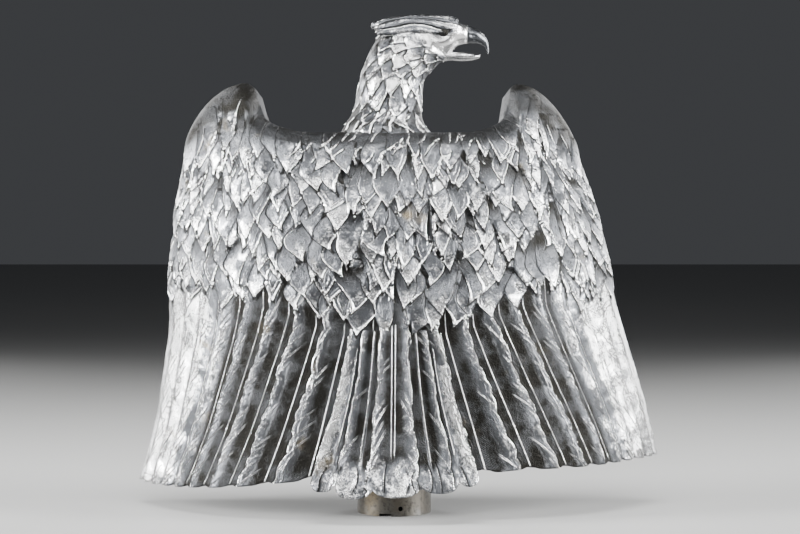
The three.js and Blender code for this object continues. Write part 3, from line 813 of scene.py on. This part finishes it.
head_verts, across, up = grid(HEAD_COLUMNS, HEAD_LINES)
turn = across * 360
station = up * HEAD_STATIONS[-1][0]
around, along = across * NECK_GIRTH, station * NECK_STEP
marks = plain_marks(len(head_verts))
wide = NECK_GIRTH / NECK_FEATHERS
size = (wide * NECK_FEATHER_SHARE, NECK_FEATHER_LENGTH, NECK_LIFT)
for row in reversed(range(len(NECK_ROWS))):
    for place in range(NECK_FEATHERS):
        leaf = leaf_at((place + row / 2) * wide, NECK_ROWS[row] * NECK_STEP, *size, **NECK_LOOKS)
        lay_leaf(marks, around, along, leaf, NECK_GIRTH, NECK_CELL)
low, high = NECK_STROKE_ENDS
for start in NECK_STROKES:
    lay_stroke(marks, around, along, (start, low), (start + NECK_STROKE_RUN, high), bow=2)

on_face = unit((station - FACE_START) / FACE_FADE)
points = head_surface(turn, station, np.zeros(len(turn)))
sideways = np.abs(np.sin(np.radians(turn)))
face = sum(swelling(points, *place) * sideways for place in FACE_DENTS.values())
marks["relief"] = mix(marks["relief"], face, on_face)
marks["bead"] *= 1 - on_face
marks["lap"] += np.copysign(FAR * on_face, marks["lap"])
marks["tone"] *= 1 - on_face

beak = unit((points[:, 0] - BEAK_START) / BEAK_FADE)
from_nape = np.abs((turn + 180) % 360 - 180)
shaded = NAPE["gloom"] * unit((NAPE["turn"] - from_nape) / NAPE["fade"])
shaded += THROAT["gloom"] * unit((from_nape - THROAT["turn"]) / THROAT["fade"])
shaded += NECK_BASE["gloom"] * unit(NECK_BASE["station"] - station)
neck_gloom = marks["gloom"] + NECK_GLOOM + shaded
face_gloom = BEAK_GLOOM * beak * on_face + swelling(points, *EYE_SHADOW) * sideways + FACE_GLOOM
marks["gloom"] = mix(neck_gloom, face_gloom, on_face)
shape(head_verts, head_surface(turn, station, marks["relief"]), marks)
close_round(head_verts)

MANDIBLE_STATIONS = [
    [0, 26, 234, 26, 228, 7],
    [1, 33, 233.8, 33, 229, 5.5],
    [2, 40, 234, 40, 228.6, 4.6],
    [3, 46, 233.4, 46.5, 229.2, 3.6],
    [4, 50.8, 232.6, 50.8, 230.6, 1.4],
]
MANDIBLE_COLUMNS = 20
MANDIBLE_LINES = 24
jaw_verts, across, up = grid(MANDIBLE_COLUMNS, MANDIBLE_LINES)
px, pz, qx, qz, half_depth = between(MANDIBLE_STATIONS, up * MANDIBLE_STATIONS[-1][0])
a = across * 2 * math.pi
x = (px + qx + (px - qx) * np.cos(a)) / 2
z = (pz + qz + (pz - qz) * np.cos(a)) / 2
shape(jaw_verts, np.stack([x, -half_depth * np.sin(a), z], axis=-1), plain_marks(len(jaw_verts)))
close_round(jaw_verts)

EYE_RADIUS = 3.2
EYE = (28.5, 11, 245)
# The eyes are painted dark: painted shade in their sockets.
EYE_GLOOM = 1.3
for side in (-1, 1):
    ball = bmesh.ops.create_icosphere(eagle, subdivisions=3, radius=EYE_RADIUS)["verts"]
    middle = np.array([EYE[0], side * EYE[1], EYE[2]])
    marks = plain_marks(len(ball), gloom=EYE_GLOOM)
    shape(ball, np.array([vert.co for vert in ball]) + middle, marks)
    finish_shell(ball)

# The crest: strands of feathers swept back from the brows over the nape, cast in one with the head.
CREST_STATIONS = [
    [-15, 242.5, 9, 7.2],
    [-8, 243.5, 11, 8.8],
    [10, 245, 13, 9.8],
    [28, 246, 13.2, 8.6],
    [38, 248.5, 9, 5],
]
CREST_REACH = 98
CREST_STRAND = 28
CREST_FRONT = 37.5
CREST_BACK = -14.5
CREST_RAGGED = 3.5
CREST_DRAWN_BACK = 4
CREST_SUNK = 2.2
CREST_COLUMNS = 72
CREST_LINES = 48
CREST_COARSER = 4
CREST_BOW = 0.5
CREST_WAVE = {"size": 0.14, "along": 8, "round": 0.06}
CREST_SPREAD = 0.7
STRAND_HEIGHT = 1.5
STRAND_LINES = {"height": 0.3, "count": 3}
STRAND_RIM = {"reach": 8, "bead": 1.7, "thins": 0.5, "most": 1.4}
# Painted shade between the crest's strands, deepening towards each strand's edge.
STRAND_GLOOM = {"rise": 3.6, "power": 1.8, "least": 0.1}
STRAND_GRAIN = 5


def crest_surface(turn, x, out):
    middle, half_width, half_height = between(CREST_STATIONS, x)
    a = np.radians(turn)
    z = middle + (half_height + out) * np.cos(a)
    return np.stack([x, -(half_width + out) * np.sin(a), z], axis=-1)


def crest_places(across, along):
    turn = (across * 2 - 1) * CREST_REACH
    drawn = turn / CREST_STRAND
    tip = np.abs((drawn + 0.5) % 1 - 0.5) * 2
    back = CREST_BACK + np.abs(turn) / CREST_REACH * CREST_DRAWN_BACK + CREST_RAGGED * tip**1.5
    return turn, mix(CREST_FRONT, back, along)


crest_verts, across, along = grid(CREST_COLUMNS, CREST_LINES)
turn, x = crest_places(across, along)
marks = plain_marks(len(crest_verts))
bow = CREST_BOW * np.sin(math.pi * along) * np.sign(turn)
bow += CREST_WAVE["size"] * np.sin(along * CREST_WAVE["along"] + turn * CREST_WAVE["round"])
swept = turn / (CREST_STRAND * (1 + CREST_SPREAD * (1 - along) ** 1.5)) + bow
from_edge = (swept + 0.5) % 1 - 0.5
from_line = np.abs(from_edge)
fine_lines = np.cos(swept * STRAND_LINES["count"] * 2 * math.pi) * (1 - from_line * 2)
out = STRAND_HEIGHT * (1 - (from_line * 2) ** 2) + STRAND_LINES["height"] * fine_lines
out *= unit(along * 12 + 0.25)
outline = (from_edge - np.copysign(0.5, from_edge)) * np.where(turn < 0, 1, -1)
marks["lap"] = outline * STRAND_RIM["reach"]
marks["bead"] = np.clip(STRAND_RIM["bead"] - along * STRAND_RIM["thins"], 0, STRAND_RIM["most"])
marks["grain"] = swept * STRAND_GRAIN
marks["gloom"] = STRAND_GLOOM["rise"] * from_line ** STRAND_GLOOM["power"] + STRAND_GLOOM["least"]
shape(crest_verts, crest_surface(turn, x, out), marks)
under_verts, across, along = grid(CREST_COLUMNS // CREST_COARSER, CREST_LINES // CREST_COARSER)
turn, x = crest_places(across, along)
shape(under_verts, crest_surface(turn, x, np.full(len(x), -CREST_SUNK)), plain_marks(len(x)))
back_to_back(crest_verts, under_verts)

# Legs and feet: smooth thighs narrowing to short shanks, and four toes each that grip the cap's rim.
FOOT_SPREAD = 13
FOOT_FORWARD = 2
TOE_TURNS = [-22, 16, 54, 172]
THIGH = [
    (27, 10, 96, 21), (26, 15, 66, 18), (20, 13, 40, 12), (15, 7, 24, 7.5), (13, 4, 14, 5), (13, 2, -1, 5),
]
THIGH_GRID = (24, 30)
TOE_DROP = [(0, 0, 3.5, 4.6), (0.55, 0, 4.5, 4.2), (1, 0, 2.2, 3.8), (1, 3.6, -4, 2.8), (1, 2.4, -12, 0.6)]
TOE_GRID = (12, 18)
TOE_SWELL = 0.06
CAP_RADIUS = (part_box("socket")[1].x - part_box("socket")[0].x) / 2 / MM


def limb(stations, sideways, columns, lines, swell=0.0):
    """A limb of round section through stations (x, y, z, radius) that bends about a sideways line."""
    verts, across, up = grid(columns, lines)
    table = [[k, *station] for k, station in enumerate(stations)]
    place = up * (len(stations) - 1)
    x, y, z, radius = between(table, place)
    path = np.stack([x, y, z], axis=-1)
    step = 0.02
    after, before = (np.stack(between(table, place + way)[:3], axis=-1) for way in (step, -step))
    ahead = after - before
    ahead /= np.linalg.norm(ahead, axis=1, keepdims=True)
    first = np.array(sideways) - ahead * (ahead @ np.array(sideways))[:, None]
    first /= np.linalg.norm(first, axis=1, keepdims=True)
    second = np.cross(ahead, first)
    a = across * 2 * math.pi
    radius = radius * (1 + swell * np.abs(np.sin(place * math.pi * 3)))
    ring = first * np.cos(a)[:, None] + second * np.sin(a)[:, None]
    shape(verts, path + ring * radius[:, None], plain_marks(len(verts)))
    close_round(verts)


for side in (-1, 1):
    limb([(side * x, y, z, radius) for x, y, z, radius in THIGH], (1, 0, 0), *THIGH_GRID)
    for toe_turn in TOE_TURNS:
        a = math.radians(toe_turn) * side
        dx, dy = math.sin(a), math.cos(a)
        fx, fy = side * FOOT_SPREAD, FOOT_FORWARD
        along = fx * dx + fy * dy
        to_rim = -along + math.sqrt(along**2 - fx**2 - fy**2 + CAP_RADIUS**2)
        reach = [(share * to_rim + beyond, z, radius) for share, beyond, z, radius in TOE_DROP]
        toe = [(fx + dx * far, fy + dy * far, z, radius) for far, z, radius in reach]
        limb(toe, (-dy, dx, 0), *TOE_GRID, TOE_SWELL)

# The silvering: bright silver on rims and high places, grey-blue where it is dull, black patina in
# the grooves, a few olive-brown stains, and fine pits and hatching. Painted shade darkens it to the
# grey-blue and to black under feather edges, beside shafts and where the gloom mark is high.


def node(kind, inputs=None, **settings):
    """Adds a node to the material in hand. An input is a plain value, or a socket to link."""
    made = tree.nodes.new(kind)
    for name, value in settings.items():
        setattr(made, name, value)
    for name, value in (inputs or {}).items():
        if isinstance(value, bpy.types.NodeSocket):
            tree.links.new(value, made.inputs[name])
        else:
            made.inputs[name].default_value = value
    return made


def calc(operation, *values):
    return node("ShaderNodeMath", dict(enumerate(values)), operation=operation).outputs[0]


def material(name):
    """A new material, with its tree of nodes and its shader."""
    made = bpy.data.materials.new(name)
    made.use_nodes = True
    return made, made.node_tree, made.node_tree.nodes["Principled BSDF"]


def in_scene(name, data):
    """A new object in the scene."""
    made = bpy.data.objects.new(name, data)
    bpy.context.scene.collection.objects.link(made)
    return made


def solid_of(name, shells, paint):
    """A new object with the mesh that has been built, in one material."""
    mesh = bpy.data.meshes.new(name)
    shells.to_mesh(mesh)
    shells.free()
    mesh.materials.append(paint)
    return in_scene(name, mesh)


def ranged(value, low, high, to_low=0.0, to_high=1.0):
    """A smooth step of a value from low to high."""
    inputs = {"Value": value, "From Min": low, "From Max": high, "To Min": to_low, "To Max": to_high}
    return node("ShaderNodeMapRange", inputs, interpolation_type="SMOOTHSTEP").outputs["Result"]


def blend(share, first, second):
    return node("ShaderNodeMix", {0: share, 6: first, 7: second}, data_type="RGBA").outputs[2]


def noise(where, scale, detail=3.0, roughness=0.55):
    inputs = {"Vector": where, "Scale": scale, "Detail": detail, "Roughness": roughness}
    return node("ShaderNodeTexNoise", inputs).outputs["Fac"]


def product(*values):
    value = values[0]
    for other in values[1:]:
        value = calc("MULTIPLY", value, other)
    return value


def most(parts):
    """The greatest of the parts, each times its strength."""
    value = 0.0
    for part, strength in parts:
        value = calc("MAXIMUM", calc("MULTIPLY", part, strength), value)
    return value


def total(parts, start=0.0):
    """The sum of the parts, each times its strength."""
    value = start
    for part, strength in parts:
        value = calc("MULTIPLY_ADD", part, strength, value)
    return value


# The dull grey-blue also serves for painted shade, and the patina black for painted shade as well.
SILVER = (0.9, 0.9, 0.895, 1)
DULL_AND_SHADE = (0.105, 0.11, 0.119, 1)
PATINA_AND_SHADE = (0.014, 0.0135, 0.012, 1)
OLIVE = (0.12, 0.094, 0.05, 1)
PITS = (1000, 2.0, 0.7)
LUMPS = (300, 2.0, 0.5)
BLOTCHES = (70, 4.0, 0.65)
STAINS = (38, 3.0, 0.6)
PITTED_PATCHES = (48, 2.0, 0.5)
RIM_WIDTH = {"least": 0.4, "of_bead": 0.95}
SECOND_LINE_IN = 2.7
SPLITS_PER_BARB = 2.0
CUT_LENGTH = {"least": -1.6, "range": 11.0, "fade": 2.0}

# Where each mark sets in and where it is full, in the measure of what it is read from. A second
# pair of numbers is what it runs from and to, where that is not 0 and 1.
STEPS = {
    "rim": (1.0, 0.4),
    "on feather": (-0.15, 0.1),
    "beaded": (0.05, 0.55),
    "beside": (-0.05, 0.15),
    "groove": (1.1, 0.35),
    "shade": (2.4, 0.2),
    "shaft": (0.42, 0.15),
    "shaft shade": (1.3, 0.6),
    "second line": (0.5, 0.15),
    "second line's tones": (0.5, 0.7),
    "cut": (0.1, 0.04),
    "cut lip": (0.19, 0.12),
    "pitted": (0.44, 0.6),
    "pitted gloom": (0.8, 1.05),
    "uneven": (-0.15, 0.2, 0.12, 1.0),
    "grain": (0.42, 0.6),
    "blotched": (0.3, 0.72, 0.05, 1.0),
    "feather": (0.0, 0.05),
    "pit": (0.47, 0.35),
    "gloomy": (0.4, 1.2),
    "gloomy blotch": (0.66, 0.4, 0.75, 1.1),
    "stained": (0.62, 0.74),
}


def step(value, name):
    return ranged(value, *STEPS[name])


silver, tree, shader = material("silvered casting")
where = node("ShaderNodeTexCoord").outputs["Object"]
mark = {name: node("ShaderNodeAttribute", attribute_name=name).outputs["Fac"] for name in layers}
for name, reach in TURNED_MARKS.items():
    turned = calc("ARCTAN2", mark[name + "_sine"], mark[name + "_cosine"])
    mark[name] = calc("MULTIPLY", turned, reach / math.pi)

inside = calc("MULTIPLY", mark["lap"], -1.0)
rim_width = calc("MULTIPLY_ADD", mark["bead"], RIM_WIDTH["of_bead"], RIM_WIDTH["least"])
rim_line = step(calc("DIVIDE", inside, rim_width), "rim")
rim_line = product(rim_line, step(inside, "on feather"), step(mark["bead"], "beaded"))
beside = step(mark["lap"], "beside")
groove = product(step(mark["lap"], "groove"), beside)
shade = product(step(mark["lap"], "shade"), beside)
from_shaft = calc("ABSOLUTE", mark["shaft"])
shaft_line = step(from_shaft, "shaft")
shaft_shade = calc("SUBTRACT", step(from_shaft, "shaft shade"), shaft_line)
from_second = calc("ABSOLUTE", calc("SUBTRACT", mark["rim"], SECOND_LINE_IN))
second = step(from_second, "second line")
second = product(second, mark["bead"], step(mark["tone"], "second line's tones"))
splits = calc("MULTIPLY", mark["barb"], SPLITS_PER_BARB)
cut_place = calc("PINGPONG", splits, 0.5)
cut_number = calc("ROUND", splits)
cut_chance = node("ShaderNodeTexWhiteNoise", {"W": cut_number}, noise_dimensions="1D").outputs["Value"]
cut_length = calc("MULTIPLY_ADD", cut_chance, CUT_LENGTH["range"], CUT_LENGTH["least"])
cut_full = calc("SUBTRACT", cut_length, CUT_LENGTH["fade"])
cut_reach = product(ranged(mark["rim"], cut_length, cut_full), mark["cut"])
cut_line = product(step(cut_place, "cut"), cut_reach)
cut_lip = product(step(cut_place, "cut lip"), cut_reach)
cut_lip = calc("SUBTRACT", cut_lip, cut_line)

pits, lumps, blotches = (noise(where, *kind) for kind in (PITS, LUMPS, BLOTCHES))
uneven = step(mark["gloom"], "uneven")
pitted = step(noise(where, *PITTED_PATCHES), "pitted")
pitted = product(calc("MAXIMUM", pitted, step(mark["gloom"], "pitted gloom")), uneven)
mottle = calc("MULTIPLY_ADD", calc("SUBTRACT", blotches, 0.5), uneven, 0.5)
grain = product(calc("PINGPONG", mark["grain"], 0.5), step(mottle, "grain"))

# How far each mark rises or sinks, in millimetres.
pit_depth = calc("MULTIPLY_ADD", pitted, 0.65, 0.12)
rises = [
    (rim_line, 0.7), (shaft_line, 0.6), (cut_line, -0.7), (cut_lip, 0.4), (second, 0.35),
    (grain, 0.3), (groove, -0.5), (pits, pit_depth), (product(lumps, uneven), 0.3),
]
bump = node("ShaderNodeBump", {"Height": total(rises), "Strength": 1.0, "Distance": MM})
tree.links.new(bump.outputs["Normal"], shader.inputs["Normal"])

# How worn, how dull or painted in shade, and how black with patina or painted shade each place is,
# mark by mark. What is worn is neither of the others.
worn = most([(rim_line, 1.0), (shaft_line, 1.0), (second, 0.7), (cut_lip, 0.8)])
blotched = product(step(blotches, "blotched"), uneven)
speckle = total([(pits, 3.0), (lumps, 1.6)], -2.25)
speckle = product(speckle, uneven, step(mark["tone"], "feather"))
dull_and_shade = [(blotched, 1.0), (mark["tone"], 0.3), (mark["gloom"], 1.0), (shade, 0.6), (speckle, 1.0)]
dull_and_shade = product(total(dull_and_shade), calc("SUBTRACT", 1.0, worn))
dull_and_shade = node("ShaderNodeClamp", {"Value": dull_and_shade}).outputs[0]
pit_shade = calc("MULTIPLY_ADD", pitted, 0.65, 0.2)
# Painted shade, deepened towards black, where the gloom mark is high.
gloomy = product(step(mark["gloom"], "gloomy"), calc("SUBTRACT", 0.94, worn))
patina_and_shade = most([
    (groove, 0.95), (cut_line, 0.85), (shaft_shade, 0.75), (shade, 0.5),
    (step(pits, "pit"), pit_shade),
    (gloomy, step(blotches, "gloomy blotch")),
])
stained = step(noise(where, *STAINS), "stained")
stained = product(stained, calc("SUBTRACT", 0.75, worn))
colour = blend(dull_and_shade, SILVER, DULL_AND_SHADE)
colour = blend(stained, colour, OLIVE)
colour = blend(patina_and_shade, colour, PATINA_AND_SHADE)
tree.links.new(colour, shader.inputs["Base Color"])
rough = total([(mottle, 0.24), (patina_and_shade, 0.15), (mark["gloom"], 0.1), (worn, -0.12)], 0.13)
tree.links.new(rough, shader.inputs["Roughness"])
shader.inputs["Metallic"].default_value = 1.0

casting = solid_of("eagle_casting", eagle, silver)
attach(casting, "root")
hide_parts("eagle")

# The pole socket: a short brass tube with a closed end, under the bird. Its plating is worn to a
# dull brownish grey. It keeps the solid's own shape.
WORN_METAL = (0.078, 0.077, 0.073, 1)
BROWN = (0.052, 0.042, 0.027, 1)
SOCKET_DARK = (0.015, 0.014, 0.012, 1)
SOCKET_PATCHES = (55, 4.0, 0.6)
SOCKET_SPECKS = (420, 3.0, 0.6)
BROWN_SIDE = (0.012, -0.016)
PATCH_STEP = (0.4, 0.6)
SPECK_STEP = (0.52, 0.3, 0.0, 0.75)
SMOOTH_ANGLE = math.radians(35)

dull_metal, tree, shader = material("worn socket metal")
where = node("ShaderNodeTexCoord").outputs["Object"]
patches = noise(where, *SOCKET_PATCHES)
specks = noise(where, *SOCKET_SPECKS)
x = node("ShaderNodeSeparateXYZ", {"Vector": where}).outputs["X"]
to_left = ranged(x, *BROWN_SIDE)
brown = calc("MULTIPLY", calc("ADD", ranged(patches, *PATCH_STEP), to_left), 0.5)
colour = blend(brown, WORN_METAL, BROWN)
colour = blend(ranged(specks, *SPECK_STEP), colour, SOCKET_DARK)
tree.links.new(colour, shader.inputs["Base Color"])
tree.links.new(calc("MULTIPLY_ADD", patches, 0.3, 0.32), shader.inputs["Roughness"])
socket_bump = node("ShaderNodeBump", {"Height": specks, "Strength": 0.7, "Distance": 0.3 * MM})
tree.links.new(socket_bump.outputs["Normal"], shader.inputs["Normal"])
shader.inputs["Metallic"].default_value = 0.85

socket_bmesh = bmesh.new()
socket_bmesh.from_mesh(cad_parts["socket"].data)
bmesh.ops.remove_doubles(socket_bmesh, verts=socket_bmesh.verts[:], dist=0.01 * MM)
bmesh.ops.recalc_face_normals(socket_bmesh, faces=socket_bmesh.faces[:])
for face in socket_bmesh.faces:
    face.smooth = True
for edge in socket_bmesh.edges:
    edge.smooth = edge.calc_face_angle(0) < SMOOTH_ANGLE
socket = solid_of("pole_socket", socket_bmesh, dull_metal)
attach(socket, "root")
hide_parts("socket")

# A plain pale floor and soft studio light: two tall panels at the sides, weak ones above, behind and
# before the eagle, and the camera behind its back, level with its middle.
FLOOR_PALE = (0.3, 0.3, 0.295, 1)
FLOOR_ROUGHNESS = 0.7
FLOOR_SIZE = 6
ROOM_COLOUR = (0.05, 0.052, 0.056, 1)
floor_bmesh = bmesh.new()
bmesh.ops.create_grid(floor_bmesh, x_segments=1, y_segments=1, size=FLOOR_SIZE)
floor_paint, tree, shader = material("floor")
shader.inputs["Base Color"].default_value = FLOOR_PALE
shader.inputs["Roughness"].default_value = FLOOR_ROUGHNESS
floor = solid_of("floor", floor_bmesh, floor_paint)

world = bpy.data.worlds.new("studio")
bpy.context.scene.world = world
world.use_nodes = True
world.node_tree.nodes["Background"].inputs["Color"].default_value = ROOM_COLOUR
world.node_tree.nodes["Background"].inputs["Strength"].default_value = 1.0


def panel(name, place, aim, wide, high, power, spread):
    light = bpy.data.lights.new(name, "AREA")
    light.shape = "RECTANGLE"
    light.size = wide
    light.size_y = high
    light.energy = power
    light.spread = math.radians(spread)
    lamp = in_scene(name, light)
    lamp.location = place
    lamp.rotation_euler = (Vector(aim) - Vector(place)).to_track_quat("-Z", "Y").to_euler()


EAGLE_MIDDLE = (0, 0, 0.17)
panel("left panel", (-1.5, -0.35, 0.45), EAGLE_MIDDLE, 0.5, 1.2, 22, 60)
panel("right panel", (1.5, -0.35, 0.45), EAGLE_MIDDLE, 0.5, 1.2, 18.5, 60)
panel("front left panel", (-1.1, 1.3, 0.6), EAGLE_MIDDLE, 0.6, 1.0, 4, 60)
panel("front right panel", (1.1, 1.3, 0.6), EAGLE_MIDDLE, 0.6, 1.0, 4, 60)
panel("back panel", (0, -1.7, 1.0), EAGLE_MIDDLE, 1.6, 0.6, 5, 60)
panel("top panel", (0, -0.5, 1.7), EAGLE_MIDDLE, 1.2, 0.5, 8, 70)

CAMERA_DISTANCE = 1.15
CAMERA_RISE = math.radians(1.5)
FOCAL_LENGTH = 86
SENSOR_WIDTH = 36
TARGET = Vector((0.0035, 0, 0.1474))
lens = bpy.data.cameras.new("camera")
lens.lens = FOCAL_LENGTH
lens.sensor_width = SENSOR_WIDTH
lens.sensor_fit = "HORIZONTAL"
camera = in_scene("camera", lens)
away = Vector((0, -math.cos(CAMERA_RISE), math.sin(CAMERA_RISE))) * CAMERA_DISTANCE
camera.location = TARGET + away
camera.rotation_euler = (-away).to_track_quat("-Z", "Y").to_euler()
bpy.context.scene.camera = camera
